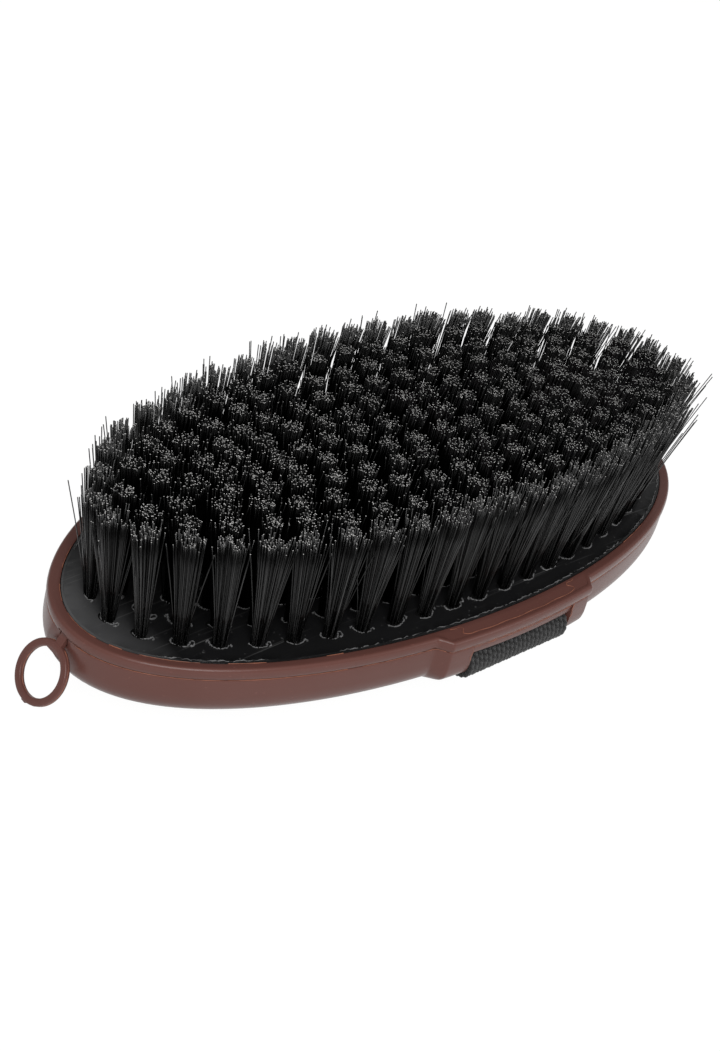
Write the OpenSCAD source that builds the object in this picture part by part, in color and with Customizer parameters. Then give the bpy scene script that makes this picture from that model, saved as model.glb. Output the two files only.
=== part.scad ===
// Oval grooming brush lying on its hand strap with the bristles up.
// X runs along the oval with the hanging ring at -X, Y runs across the strap, Z is up.
// The origin is the middle of the flat under the strap, where the brush rests.

/* [Body] */
// Length of the oval body at its parting line
body_length = 200; // [180:1:220]
// Width of the oval body at its parting line
body_width = 93.4; // [88:0.2:104]
// How far the two ends curve down below the middle
end_drop = 3.3; // [2.5:0.1:4]
// Height of the parting line over the strap's resting face
seam_height = 24; // [23:0.5:30]
// Depth of the back below the parting line
back_depth = 14; // [13:0.2:16]
// Inset over which the side wall rounds into the back
shoulder = 9; // [7:0.5:11]
// Wall thickness of the back
wall = 2.2; // [1.8:0.1:2.6]
// Width of the ledge that carries the tuft plate
ledge_width = 2.2; // [1.6:0.1:2.8]

/* [Rim] */
// Height of the rounded bead over the parting line
bead_height = 2.9; // [2.8:0.1:4]
// Width of the rim between the parting line and the tuft plate
rim_width = 2.8; // [2.2:0.1:3]
// How far the bead swells outside the parting line
bead_swell = 0.25; // [0:0.05:0.5]

/* [Ears] */
// Length of the ear on each long side, between its outer corners
ear_length = 49.4; // [44:0.2:60]
// How far an ear stands out of the side
ear_out = 2.8; // [2.4:0.1:4]
// Length of the bevel at each end of an ear
ear_bevel = 2.4; // [1.6:0.2:6]

/* [Tuft plate] */
// Height of the plate's face over the parting line
plate_rise = 2.5; // [2:0.1:2.9]
// Thickness of the drilled core under the face
core_thickness = 3.8; // [3.2:0.1:4]
// Clearance between the plate and the rim
plate_gap = 0.2; // [0.1:0.05:0.4]
// Thickness of the face at the two ends of the oval
skin = 0.2; // [0.2:0.05:0.5]
// Depth of the wells that hold the tufts
well_depth = 2.4; // [1.8:0.1:2.8]
// Diameter of the wells
well_diameter = 2.6; // [2.2:0.1:3]

/* [Tufts] */
// Inset of the outermost ring of tufts from the parting line
first_ring = 9.5; // [9:0.1:10]
// Distance from one ring of tufts to the next
ring_step = 7.35; // [7.2:0.05:7.5]
// Distance between tufts along a ring
tuft_pitch = 8.65; // [8.4:0.05:10]
// Length of the bristles over the plate
bristle_length = 29.4; // [22:0.2:36]
// Size of a strand at the plate
strand_root = 0.75; // [0.5:0.05:0.9]
// Size of a strand at its tip
strand_tip = 1.45; // [0.8:0.05:1.6]
// Distance of a strand from the middle of its tuft at the plate
root_spread = 0.6; // [0.45:0.05:0.7]
// Distance of a strand from the middle of its tuft at the tip
tip_spread = 1.9; // [1.2:0.1:2]
// How much further out the tips stand than the roots, along the oval
lean_along = 0.04; // [0:0.005:0.05]
// How much further in the tips stand than the roots, across the oval
lean_across = 0.01; // [0:0.005:0.03]
// Length of a tuft's flat anchor
anchor_length = 2.3; // [1.8:0.1:2.4]
// Thickness of a tuft's flat anchor
anchor_thickness = 0.35; // [0.2:0.05:0.5]
// Height of a tuft's flat anchor
anchor_height = 1.9; // [1.2:0.1:2]

/* [Strap] */
// Width of the elastic strap
strap_width = 35; // [28:0.5:38]
// Thickness of the elastic strap
web = 1.8; // [1.4:0.1:2]
// Half length of the flat under the strap
strap_flat = 12; // [6:1:16]
// Radius of the rounded lip that the strap turns over
lip_radius = 2.7; // [2.2:0.1:3]
// Inset of the lip's centre from the parting line
lip_inset = 1.5; // [1:0.1:2]
// Clearance between the strap and the lip
web_gap = 0.2; // [0.1:0.05:0.3]
// Clearance at each side of the strap in its slot
slot_gap = 0.3; // [0.2:0.05:0.6]
// Height of the bar that closes the slot over the strap
bar_height = 2.6; // [2.2:0.1:3]
// How far the bar's face lies back from the ear's face
bar_set_back = 0.25; // [0.1:0.05:0.6]
// Clearance around the bar
bar_gap = 0.05; // [0.03:0.01:0.1]
// Diameter of the rod in each hem
rod_diameter = 1.2; // [1:0.1:1.3]
// Inset of the rod from the parting line
rod_inset = 12.2; // [11.5:0.1:14]
// Length of the folded hem outward of the rod
hem_length = 3.5; // [2:0.1:3.8]

/* [Hanging ring] */
// Outer radius of the ring
ring_radius = 7.7; // [7:0.1:9]
// Radius of the hole in the ring
ring_hole = 6; // [5:0.1:6.4]
// Thickness of the ring
ring_thickness = 1.6; // [1.4:0.1:1.8]
// Chamfer on the ring's edges
ring_chamfer = 0.4; // [0.2:0.05:0.5]
// Angle at which the ring hangs below level
ring_hang = 60; // [40:1:60]
// Inset of the hinge from the tip of the oval
hinge_inset = 1.45; // [1.4:0.05:1.55]
// Radius of the hinge pin
hinge_radius = 0.7; // [0.6:0.02:0.72]
// Running clearance around the hinge pin
hinge_gap = 0.05; // [0.03:0.01:0.1]
// Length of the hinge pin
hinge_length = 6.6; // [5:0.1:7]
// Width of the ring's neck
neck_width = 2.6; // [2:0.1:3]
// Distance from the hinge to the ring's outer edge
neck_length = 3.35; // [3.3:0.05:4.5]
// Thickness of the ring's neck
neck_thickness = 1.3; // [1:0.05:1.35]
// Clearance around the neck in its slot
neck_gap = 0.3; // [0.2:0.05:0.5]
// Depth of the flat behind the ring at the tip of the oval
tip_flat = 0.5; // [0.4:0.05:0.6]

/* [Hidden] */
half_l = body_length / 2;
half_w = body_width / 2;
brown = [0.45, 0.32, 0.295];
black = [0.11, 0.11, 0.115];
bristle_black = [0.07, 0.07, 0.075];
web_black = [0.13, 0.13, 0.135];
steel = [0.72, 0.72, 0.74];

// Heights from the parting line at the middle of the oval
face_bottom = plate_rise - end_drop - skin;
core_bottom = face_bottom - core_thickness;
ledge_inset = rim_width + ledge_width;
inner_depth = back_depth - wall;
cutter = 12;

// Angles of the stations round the oval, with one at each corner of an ear
angle_corner = acos(ear_length / 2 / half_l);
angle_bevel = acos((ear_length / 2 + ear_bevel) / half_l);
quarter_steps = 13;
ear_steps = 3;
quarter = concat(
    [for (i = [0:quarter_steps]) angle_bevel * i / quarter_steps],
    [for (i = [0:ear_steps - 1]) angle_corner + (90 - angle_corner) * i / ear_steps]
);
half = concat(quarter, [90], [for (i = [len(quarter) - 1:-1:1]) 180 - quarter[i]]);
stations = concat(half, [for (a = half) a + 180]);
plain_steps = 48;
plain_stations = [for (i = [0:plain_steps - 1]) 360 * i / plain_steps];

function sag(x) = -end_drop * pow(x / half_l, 2);
function in_ear(a) = abs(cos(a)) <= cos(angle_corner) + 0.0001 ? 1 : 0;

// A point of the outline at an inset from the parting line, with a share of the ear
function oval(a, inset, ear) = [
    (half_l - inset) * cos(a),
    (half_w - inset) * sin(a) + ear * ear_out * in_ear(a) * sign(sin(a))
];

// A row of a loft is [inset, height, share of the ear, share of the end drop]
function ring_points(row, angles) = [
    for (a = angles)
        let (p = oval(a, row[0], row[2]))
        [p[0], p[1], seam_height + row[1] + row[3] * sag(p[0])]
];
function flatten(lists) = [for (l = lists) each l];
function side_faces(rows, n) = [
    for (r = [0:rows - 2], i = [0:n - 1])
        let (j = (i + 1) % n, a = r * n, b = a + n)
        each [[a + i, b + i, b + j], [a + i, b + j, a + j]]
];

// Profile of the back from the parting line to near its middle:
// inset as a share of the shoulder, depth as a share of the back's, share of the ear
back_profile = [
    [0, 0, 1], [-0.02, 0.12, 1], [-0.03, 0.27, 1], [-0.03, 0.42, 1], [0.02, 0.57, 1],
    [0.16, 0.71, 0.9], [0.42, 0.83, 0.6], [1, 0.92, 0.3], [2.2, 0.975, 0]
];
inside_profile = [[0.51, 0.66], [0.7, 0.81], [1.1, 0.9], [2.2, 0.965]];

module solid_back() {
    outside = [for (p = back_profile) [p[0] * shoulder, -p[1] * back_depth, p[2], 1]];
    inside = [for (p = inside_profile) [p[0] * shoulder, -p[1] * inner_depth, 0, 1]];
    ledge = [
        [rim_width, 0, 0, 1], [rim_width, core_bottom, 0, 0], [ledge_inset, core_bottom, 0, 0]
    ];
    rows = concat([for (i = [len(outside) - 1:-1:0]) outside[i]], ledge, inside);
    n = len(stations);
    points = concat(
        flatten([for (r = rows) ring_points(r, stations)]),
        [[0, 0, seam_height - back_depth], [0, 0, seam_height - inner_depth]]
    );
    last = (len(rows) - 1) * n;
    poles = [
        for (i = [0:n - 1])
            let (j = (i + 1) % n)
            each [[len(rows) * n, i, j], [len(rows) * n + 1, last + j, last + i]]
    ];
    polyhedron(points, concat(side_faces(len(rows), n), poles), convexity = 6);
}

// Strap: its lip, its slot and the path of its middle line in the Y-Z plane
turn_radius = lip_radius + web_gap + web / 2;
lip_run_in = 2;
slot_half = strap_width / 2 + slot_gap;
bar_drop = 0.02;
bar_top = sag(slot_half) - bar_drop;
bar_bottom = bar_top - bar_height;
turn = [half_w - lip_inset, bar_bottom - bar_gap - turn_radius - web / 2];
hem_clear = 0.3;
rod_gap = 0.08;
hem_top = core_bottom - hem_clear - web / 2;
hem_radius = (rod_diameter + web) / 2 + rod_gap;
rod = [half_w - rod_inset, hem_top - hem_radius];
turn_start = -68;
turn_end = 140;
turn_steps = 12;
arch_share = 0.5;
fold_pull = 1.8;
hem_pull = 2.2;
hem_lead = 1.6;
rod_short = 1;

function on_turn(a) = turn + turn_radius * [cos(a), sin(a)];
function along(a) = [-sin(a), cos(a)];
function curve(a, b, c, d, n) = [
    for (i = [1:n - 1])
        let (t = i / n, s = 1 - t)
        s * s * s * a + 3 * s * s * t * b + 3 * s * t * t * c + t * t * t * d
];

strap_low = [strap_flat, web / 2 - seam_height];
arch_end = on_turn(turn_start);
arch_pull = (arch_end[0] - strap_flat) * arch_share;
arch = curve(
    strap_low, strap_low + [arch_pull, 0],
    arch_end - arch_pull * along(turn_start), arch_end, 9
);
fold_end = on_turn(turn_end);
hem_start = [rod[0] + hem_lead, hem_top];
inward = curve(
    fold_end, fold_end + fold_pull * along(turn_end), hem_start + [hem_pull, 0], hem_start, 5
);
half_path = concat(
    [strap_low], arch,
    [for (i = [0:turn_steps]) on_turn(turn_start + (turn_end - turn_start) * i / turn_steps)],
    inward, [hem_start],
    [for (i = [0:8]) rod + hem_radius * [cos(90 + 22.5 * i), sin(90 + 22.5 * i)]],
    [[rod[0] + hem_length, rod[1] - hem_radius]]
);
strap_path = concat(
    [for (i = [len(half_path) - 1:-1:0]) [-half_path[i][0], half_path[i][1]]], half_path
);
function unit(v) = v / norm(v);
function side_of(path, i) =
    let (
        n = len(path),
        before = i > 0 ? unit(path[i] - path[i - 1]) : unit(path[1] - path[0]),
        after = i < n - 1 ? unit(path[i + 1] - path[i]) : before,
        middle = unit(before + after)
    )
    [-middle[1], middle[0]] / (middle * before);

// The room for the strap: over and round the lip, and down the ear's wall to the body's underside
lip_steps = 31;
under_lip = [[4.4, 4.9], [9.2, 7.3]];
strap_way = concat(
    [[turn[0] - lip_radius - lip_run_in, cutter], [turn[0] - lip_radius - lip_run_in, turn[1]]],
    [
        for (i = [0:lip_steps])
            let (a = 180 + (turn_start - 180) * i / lip_steps)
            turn + lip_radius * [cos(a), sin(a)]
    ],
    [
        turn - under_lip[0], turn - under_lip[1], turn - [under_lip[1][0], back_depth],
        turn + [cutter, -back_depth], turn + [cutter, cutter]
    ]
);

// A prism across the strap's width from an outline in the Y-Z plane
module across(width) {
    translate([-width / 2, 0, seam_height]) rotate([90, 0, 90]) linear_extrude(width) children();
}

module both_sides() {
    for (s = [0, 1]) mirror([0, s, 0]) children();
}

// Hinge of the hanging ring, in the parting line at the -X tip
hinge = [hinge_inset - half_l, sag(half_l - hinge_inset)];
ring_reach = ring_radius + neck_length;
boss_wall = 1.6;
boss_side = 0.9;
boss_bite = 0.4;
boss_clear = 0.1;
boss_outer = hinge_inset + hinge_radius * 0.6;
boss_inner = hinge_inset + hinge_radius + hinge_gap + boss_wall;
boss_depth = boss_inner - boss_outer;
boss_half = hinge_length / 2 + boss_side;
boss_split = sag(half_l - boss_outer);
boss_seam = 0.1;
slot_drop = 3.2;
slot_reach = 4;
slot_headroom = 0.25;
slot_inward = 0.7;

module hinge_room() {
    slot = neck_width / 2 + neck_gap;
    translate([hinge[0], 0, seam_height + hinge[1]]) {
        rotate([90, 0, 0]) cylinder(
            r = hinge_radius + hinge_gap, h = hinge_length + 2 * hinge_gap, center = true, $fn = 48
        );
        translate([-slot_reach, -slot, -slot_drop])
            cube([slot_reach + slot_inward, 2 * slot, slot_drop + neck_thickness / 2 + slot_headroom]);
    }
}

module back_shell() {
    color(brown) difference() {
        union() {
            solid_back();
            translate([boss_outer - half_l, -boss_half, seam_height + core_bottom - boss_bite])
                cube([boss_depth, 2 * boss_half, boss_split - boss_seam - core_bottom + boss_bite]);
        }
        both_sides() across(2 * slot_half) polygon(strap_way);
        translate([tip_flat - half_l - cutter, -half_w / 2, seam_height - back_depth - end_drop])
            cube([cutter, half_w, back_depth + end_drop]);
        hinge_room();
    }
}

module rim_frame() {
    lip_over_plate = 0.15;
    rows = [
        [0, 0, 1, 1],
        [-bead_swell, 0.22 * bead_height, 1, 1],
        [-bead_swell, 0.55 * bead_height, 1, 1],
        [0.1, 0.83 * bead_height, 1, 1],
        [0.55, bead_height, 1, 1],
        [0.5 * rim_width, 0.99 * bead_height, 1, 1],
        [0.86 * rim_width, 0.94 * bead_height, 1, 1],
        [rim_width, plate_rise + lip_over_plate, 0, 1],
        [rim_width, 0, 0, 1],
        [0, 0, 1, 1]
    ];
    n = len(stations);
    loop_rows = len(rows) - 1;
    points = flatten([for (i = [0:loop_rows - 1]) ring_points(rows[i], stations)]);
    // the underside is split along the same lines as the top of the back
    faces = [
        for (r = [0:loop_rows - 1], i = [0:n - 1])
            let (j = (i + 1) % n, a = r * n, b = (r + 1) % loop_rows * n)
            each r < loop_rows - 1
                ? [[a + i, b + i, b + j], [a + i, b + j, a + j]]
                : [[a + i, b + i, a + j], [b + i, b + j, a + j]]
    ];
    color(brown) difference() {
        union() {
            polyhedron(points, faces, convexity = 6);
            translate([boss_outer - half_l, -boss_half, seam_height + boss_split + boss_seam])
                cube([boss_depth, 2 * boss_half, face_bottom - boss_clear - boss_split - boss_seam]);
        }
        hinge_room();
    }
}

// Tufts: each ring is an oval, with its tufts spread evenly along it
ring_count = 5;
function ring_inset(k) = first_ring + ring_step * k;
function edge_inset(k) = k == 0 ? rim_width + plate_gap : ring_inset(k) - ring_step / 2;
function along_oval(inset) = [
    for (
        i = 0, s = 0, p = oval(0, inset, 0);
        i <= 180;
        i = i + 1,
        s = s + norm(oval(2 * i, inset, 0) - p),
        p = oval(2 * i, inset, 0)
    ) [s, 2 * i]
];
function ring_angles(k) =
    let (
        table = along_oval(ring_inset(k)),
        total = table[len(table) - 1][0],
        count = round(total / tuft_pitch)
    )
    [for (i = [0:count - 1]) lookup(total * (i + 0.5 * ((k + 1) % 2)) / count, table)];
function tuft_of(k, a) =
    let (
        inset = ring_inset(k),
        p = oval(a, inset, 0),
        t = unit([-(half_l - inset) * sin(a), (half_w - inset) * cos(a)])
    )
    [p[0], p[1], t[0], t[1]];
row_inset = edge_inset(ring_count);
row_end = 3.5;
row_count = 2 * floor((half_l - row_inset - row_end) / tuft_pitch);
row_tufts = [for (i = [0:row_count - 1]) [(i - (row_count - 1) / 2) * tuft_pitch, 0, 1, 0]];
function tufts(k) = k < ring_count ? [for (a = ring_angles(k)) tuft_of(k, a)] : row_tufts;
all_tufts = [for (k = [0:ring_count]) each tufts(k)];

function face_height(x) = seam_height + plate_rise + sag(x);

// One strand of three sides, thicker at the tip, from half way down the slice to the tip
module strand(tuft, side) {
    t = [tuft[2], tuft[3]];
    root = [tuft[0], tuft[1]] + side * root_spread * t;
    tip = [tuft[0] * (1 + lean_along), tuft[1] * (1 - lean_across)] + side * tip_spread * t;
    face = face_height(tuft[0]);
    bottom = (face + seam_height + face_bottom) / 2;
    top = face + bristle_length;
    n = [-t[1], t[0]];
    corners = [side * t, side * (-0.5 * t + 0.87 * n), side * (-0.5 * t - 0.87 * n)];
    low = [for (c = corners) [root[0] + strand_root * c[0], root[1] + strand_root * c[1], bottom]];
    high = [for (c = corners) [tip[0] + strand_tip * c[0], tip[1] + strand_tip * c[1], top]];
    polyhedron(
        concat(low, high),
        [[0, 1, 2], [5, 4, 3], [0, 3, 4], [0, 4, 1], [1, 4, 5], [1, 5, 2], [2, 5, 3], [2, 3, 0]],
        convexity = 2
    );
}

// The slice of the plate's face that one ring of tufts stands in
module face_slice(k) {
    n = plain_steps;
    outer = edge_inset(k);
    inner = edge_inset(k + 1);
    top = plate_rise;
    rows = [[outer, face_bottom, 0, 0], [outer, top, 0, 1], [inner, top, 0, 1], [inner, face_bottom, 0, 0]];
    points = flatten([for (r = rows) ring_points(r, plain_stations)]);
    faces = [
        for (r = [0:3], i = [0:n - 1])
            let (j = (i + 1) % n, a = r * n, b = (r + 1) % 4 * n)
            each [[a + i, b + i, b + j], [a + i, b + j, a + j]]
    ];
    polyhedron(points, faces, convexity = 6);
}

module middle_slice() {
    n = plain_steps;
    rows = [[row_inset, face_bottom, 0, 0], [row_inset, plate_rise, 0, 1]];
    points = flatten([for (r = rows) ring_points(r, plain_stations)]);
    strips = [
        for (i = [0:n / 2 - 1])
            let (a = i + 1, b = n - 1 - i, c = (n - i) % n)
            each concat(
                i < n / 2 - 1 ? [[i, a, b], [n + b, n + a, n + i]] : [],
                i > 0 ? [[i, b, c], [n + c, n + b, n + i]] : []
            )
    ];
    polyhedron(points, concat(side_faces(2, n), strips), convexity = 4);
}

module bristle_ring(k) {
    color(bristle_black) union() {
        if (k < ring_count) face_slice(k);
        else middle_slice();
        for (tuft = tufts(k), side = [-1, 1]) strand(tuft, side);
    }
}

module tuft_plate() {
    outline = [for (i = [0:95]) oval(360 * i / 96, rim_width + plate_gap, 0)];
    below = core_thickness + 2;
    strap_room = 0.5;
    notch_over = 0.4;
    boss_room = 0.3;
    color(black) translate([0, 0, seam_height + core_bottom]) difference() {
        union() {
            linear_extrude(core_thickness - well_depth) polygon(outline);
            translate([0, 0, core_thickness - well_depth]) linear_extrude(well_depth) difference() {
                polygon(outline);
                for (t = all_tufts) translate([t[0], t[1]]) circle(d = well_diameter, $fn = 24);
            }
        }
        both_sides() translate([-slot_half - strap_room, turn[0] - turn_radius - web / 2 + notch_over, -1])
            cube([2 * (slot_half + strap_room), half_w, below]);
        translate([-half_l, -boss_half - boss_room, -1])
            cube([boss_inner + boss_room, 2 * (boss_half + boss_room), below]);
    }
}

module tuft_anchors(k) {
    color(steel) for (t = tufts(k))
        translate([t[0], t[1], seam_height + face_bottom - well_depth])
            rotate([0, 0, atan2(t[3], t[2])])
                translate([-anchor_length / 2, -anchor_thickness / 2, 0])
                    cube([anchor_length, anchor_thickness, anchor_height]);
}

module hand_strap() {
    n = len(strap_path);
    left = [for (i = [0:n - 1]) strap_path[i] + web / 2 * side_of(strap_path, i)];
    right = [for (i = [n - 1:-1:0]) strap_path[i] - web / 2 * side_of(strap_path, i)];
    color(web_black) across(strap_width) polygon(concat(left, right));
}

// The bar follows the ear's curved face, with its lower outer edge bevelled
module strap_bar() {
    half_bar = slot_half - bar_gap;
    inner = half_w - rim_width;
    bevel = 0.4;
    steps = 12;
    function face(x, back) = half_w * sqrt(1 - pow(x / half_l, 2)) + ear_out - bar_set_back - back;
    module slice_of(back) {
        polygon(concat(
            [[half_bar, inner], [-half_bar, inner]],
            [for (i = [0:steps]) let (x = half_bar * (2 * i / steps - 1)) [x, face(x, back)]]
        ));
    }
    color(brown) translate([0, 0, seam_height + bar_bottom]) {
        linear_extrude(bevel) slice_of(bevel / 2);
        translate([0, 0, bevel]) linear_extrude(bar_height - bevel) slice_of(0);
    }
}

module hem_rod() {
    color(steel) translate([0, rod[0], seam_height + rod[1]]) rotate([0, 90, 0])
        cylinder(d = rod_diameter, h = strap_width - rod_short, center = true, $fn = 32);
}

module hanging_ring() {
    c = ring_chamfer;
    t = ring_thickness / 2;
    bite = 0.8;
    color(brown) translate([hinge[0], 0, seam_height + hinge[1]]) rotate([0, -ring_hang, 0]) union() {
        translate([-ring_reach, 0, 0]) rotate_extrude($fn = 96) polygon([
            [ring_hole, c - t], [ring_hole + c, -t], [ring_radius - c, -t], [ring_radius, c - t],
            [ring_radius, t - c], [ring_radius - c, t], [ring_hole + c, t], [ring_hole, t - c]
        ]);
        translate([-neck_length - bite, -neck_width / 2, -neck_thickness / 2])
            cube([neck_length + bite, neck_width, neck_thickness]);
        rotate([90, 0, 0]) cylinder(r = hinge_radius, h = hinge_length, center = true, $fn = 48);
    }
}

back_shell();
rim_frame();
tuft_plate();
bristle_ring(0);  // bristles_outer_ring
bristle_ring(1);  // bristles_second_ring
bristle_ring(2);  // bristles_third_ring
bristle_ring(3);  // bristles_fourth_ring
bristle_ring(4);  // bristles_fifth_ring
bristle_ring(5);  // bristles_middle_row
tuft_anchors(0);  // anchors_outer_ring
tuft_anchors(1);  // anchors_second_ring
tuft_anchors(2);  // anchors_third_ring
tuft_anchors(3);  // anchors_fourth_ring
tuft_anchors(4);  // anchors_fifth_ring
tuft_anchors(5);  // anchors_middle_row
hand_strap();
mirror([0, 1, 0]) strap_bar();  // strap_bar_front
strap_bar();  // strap_bar_rear
mirror([0, 1, 0]) hem_rod();  // hem_rod_front
hem_rod();  // hem_rod_rear
hanging_ring();
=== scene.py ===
import math

import bmesh
import bpy
import numpy as np
from mathutils import Matrix, Vector


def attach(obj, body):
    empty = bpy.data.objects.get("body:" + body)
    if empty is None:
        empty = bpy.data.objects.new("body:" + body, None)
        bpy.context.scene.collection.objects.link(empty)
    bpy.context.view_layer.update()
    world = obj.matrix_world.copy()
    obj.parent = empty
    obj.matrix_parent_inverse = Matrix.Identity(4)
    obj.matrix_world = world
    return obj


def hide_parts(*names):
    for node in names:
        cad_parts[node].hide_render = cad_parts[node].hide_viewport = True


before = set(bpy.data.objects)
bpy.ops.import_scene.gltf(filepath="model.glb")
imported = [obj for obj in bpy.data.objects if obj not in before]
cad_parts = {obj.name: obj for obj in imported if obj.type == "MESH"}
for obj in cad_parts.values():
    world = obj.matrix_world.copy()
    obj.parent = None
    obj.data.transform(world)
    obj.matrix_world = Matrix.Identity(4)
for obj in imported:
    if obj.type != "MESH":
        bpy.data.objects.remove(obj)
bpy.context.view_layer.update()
mm = 0.001
print("frame loaded:", len(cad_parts), "nodes")


def linked(name, data):
    obj = bpy.data.objects.new(name, data)
    bpy.context.scene.collection.objects.link(obj)
    return obj


photoCamera = {
    "place": (-266.98, -214.15, 255.56),
    "right": (0.73735729, -0.6383598, 0.22090948),
    "up": (0.24852189, 0.5604547, 0.79001734),
    "pixelsOfFocus": 1600.0,
    "photoHeight": 1051.0,
    "sensorHeight": 36.0,
}


def addCamera(spec):
    data = bpy.data.cameras.new("photoCamera")
    data.sensor_fit = "VERTICAL"
    data.sensor_height = spec["sensorHeight"]
    data.lens = spec["pixelsOfFocus"] * spec["sensorHeight"] / spec["photoHeight"]
    data.clip_start = 0.01
    data.clip_end = 20.0
    camera = linked("photoCamera", data)
    right, up = Vector(spec["right"]).normalized(), Vector(spec["up"])
    up = (up - right * up.dot(right)).normalized()
    turn = Matrix((right, up, right.cross(up))).transposed().to_4x4()
    camera.matrix_world = Matrix.Translation(Vector(spec["place"]) * mm) @ turn
    bpy.context.scene.camera = camera


addCamera(photoCamera)

# the body's sizes, in mm as in the CAD
body = {
    "halfLength": 100.0,
    "halfWidth": 46.7,
    "endDrop": 3.3,
    "seamHeight": 24.0,
    "backDepth": 14.0,
    "shoulder": 9.0,
    "wall": 2.2,
    "rimWidth": 2.8,
    "ledgeWidth": 2.2,
    "coreBottom": -4.8,
    "beadHeight": 2.9,
    "plateRise": 2.5,
    "earHalf": 24.7,
    "earBevel": 2.4,
    "earOut": 2.8,
    "cornerRounding": 0.1,
    "tipFlat": 0.5,
}


def sag(x):
    return -body["endDrop"] * (x / body["halfLength"]) ** 2


def earAt(angle):
    x = abs(body["halfLength"] * math.cos(angle))
    reach = (body["earHalf"] + body["earBevel"] - x) / body["earBevel"]
    w = body["cornerRounding"]
    inside = min(1.0, max(0.0, reach))
    for corner in (0.0, 1.0):
        t = (reach - corner) / w
        if abs(t) < 1:
            inside += (1 - 2 * corner) * w * (1 - abs(t)) ** 2 / 4
    return inside


def ovalPoint(angle, inset, ear=0.0):
    x = (body["halfLength"] - inset) * math.cos(angle)
    y = (body["halfWidth"] - inset) * math.sin(angle)
    if ear:
        y += math.copysign(ear * body["earOut"] * earAt(angle), math.sin(angle))
    return x, y


def bodyAngles(coarse=2.2, fine=0.3):
    # stations round the oval, close together at the corners of the ears
    quarter, t = [], 0.0
    while t < math.pi / 2 - 0.004:
        quarter.append(t)
        x = body["halfLength"] * math.cos(t)
        fromEar = abs(x - body["earHalf"] - body["earBevel"] / 2)
        step = fine if fromEar < body["earBevel"] / 2 + 1.5 else coarse
        t += step / math.hypot(body["halfLength"] * math.sin(t), body["halfWidth"] * math.cos(t))
    half = quarter + [math.pi / 2] + [math.pi - q for q in reversed(quarter[1:])]
    return half + [a + math.pi for a in half]


angles = bodyAngles()


def loopPoints(row, ringAngles=None):
    # a row is inset, height, share of the ear, share of the end drop, extra height inside the ears
    inset, height, ear, drop, ledge = row
    out = []
    for a in ringAngles or angles:
        x, y = ovalPoint(a, inset, ear)
        out.append((x, y, body["seamHeight"] + height + drop * sag(x) + ledge * earAt(a)))
    return out


def smoothRows(rows, parts):
    # Catmull-Rom rows between the given ones
    p = np.array([rows[0]] + list(rows) + [rows[-1]], float)
    out = []
    for i in range(1, len(p) - 2):
        for k in range(parts):
            t = k / parts
            a, b, c, d = p[i - 1], p[i], p[i + 1], p[i + 2]
            out.append(tuple(0.5 * (2 * b + (c - a) * t + (2 * a - 5 * b + 4 * c - d) * t * t
                                    + (3 * b - a - 3 * c + d) * t ** 3)))
    out.append(tuple(p[-2]))
    return out


def meshOf(name, points, edges=(), faces=()):
    mesh = bpy.data.meshes.new(name)
    mesh.from_pydata([(x * mm, y * mm, z * mm) for x, y, z in points], edges, faces)
    return mesh


def newObject(name, points, faces, smoothAngle=35.0):
    mesh = meshOf(name, points, faces=faces)
    mesh.validate()
    shadeSmooth(mesh, smoothAngle)
    return linked(name, mesh)


def shadeSmooth(mesh, smoothAngle):
    mesh.polygons.foreach_set("use_smooth", [True] * len(mesh.polygons))
    mesh.set_sharp_from_angle(angle=math.radians(smoothAngle))
    mesh.update()


def bandFaces(rows, n, closed=False):
    faces = []
    for r in range(rows if closed else rows - 1):
        a, b = r * n, ((r + 1) % rows) * n
        for i in range(n):
            j = (i + 1) % n
            faces.append((a + i, b + i, b + j, a + j))
    return faces


def outward(obj, merge=True):
    bm = bmesh.new()
    bm.from_mesh(obj.data)
    if merge:
        bmesh.ops.remove_doubles(bm, verts=bm.verts, dist=1e-7)
    bmesh.ops.recalc_face_normals(bm, faces=bm.faces)
    bm.to_mesh(obj.data)
    bm.free()
    return obj


def settle(obj, smoothAngle=None):
    # turns what the modifiers make into the object's own mesh
    graph = bpy.context.evaluated_depsgraph_get()
    mesh = bpy.data.meshes.new_from_object(obj.evaluated_get(graph))
    obj.modifiers.clear()
    obj.data = mesh
    if smoothAngle:
        shadeSmooth(mesh, smoothAngle)
    return obj


def combineWith(obj, others, operation):
    for other in others:
        outward(other)
        modifier = obj.modifiers.new("combine", "BOOLEAN")
        modifier.operation = operation
        modifier.solver = "EXACT"
        modifier.object = other
    settle(obj)
    for other in others:
        bpy.data.objects.remove(other)


def boxCutter(low, high):
    xs, ys, zs = zip(low, high)
    points = [(x, y, z) for x in xs for y in ys for z in zs]
    faces = [(0, 1, 3, 2), (4, 6, 7, 5), (0, 4, 5, 1), (2, 3, 7, 6), (0, 2, 6, 4), (1, 5, 7, 3)]
    return newObject("cutter", points, faces)


def loft(name, sections, smoothAngle=35.0):
    # a closed solid through outlines that all have as many points
    n = len(sections[0])
    points = [p for section in sections for p in section]
    faces = bandFaces(len(sections), n)
    faces += [tuple(range(n)), tuple(range(len(points) - 1, len(points) - n - 1, -1))]
    return outward(newObject(name, points, faces, smoothAngle))


def barAcross(outline, halfWidth, side):
    # a prism across the strap from an outline in the Y-Z plane
    return loft("cutter", [[(x, side * y, z) for y, z in outline] for x in (-halfWidth, halfWidth)])


def pinCutter(place, radius, halfLength):
    turns = [math.pi * k / 16 for k in range(32)]
    return loft("cutter", [[(place[0] + radius * math.cos(a), y, place[1] + radius * math.sin(a)) for a in turns]
                           for y in (-halfLength, halfLength)])


def plug(tree, socket, value):
    if hasattr(value, "is_output"):
        tree.links.new(value, socket)
    else:
        socket.default_value = value


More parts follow.
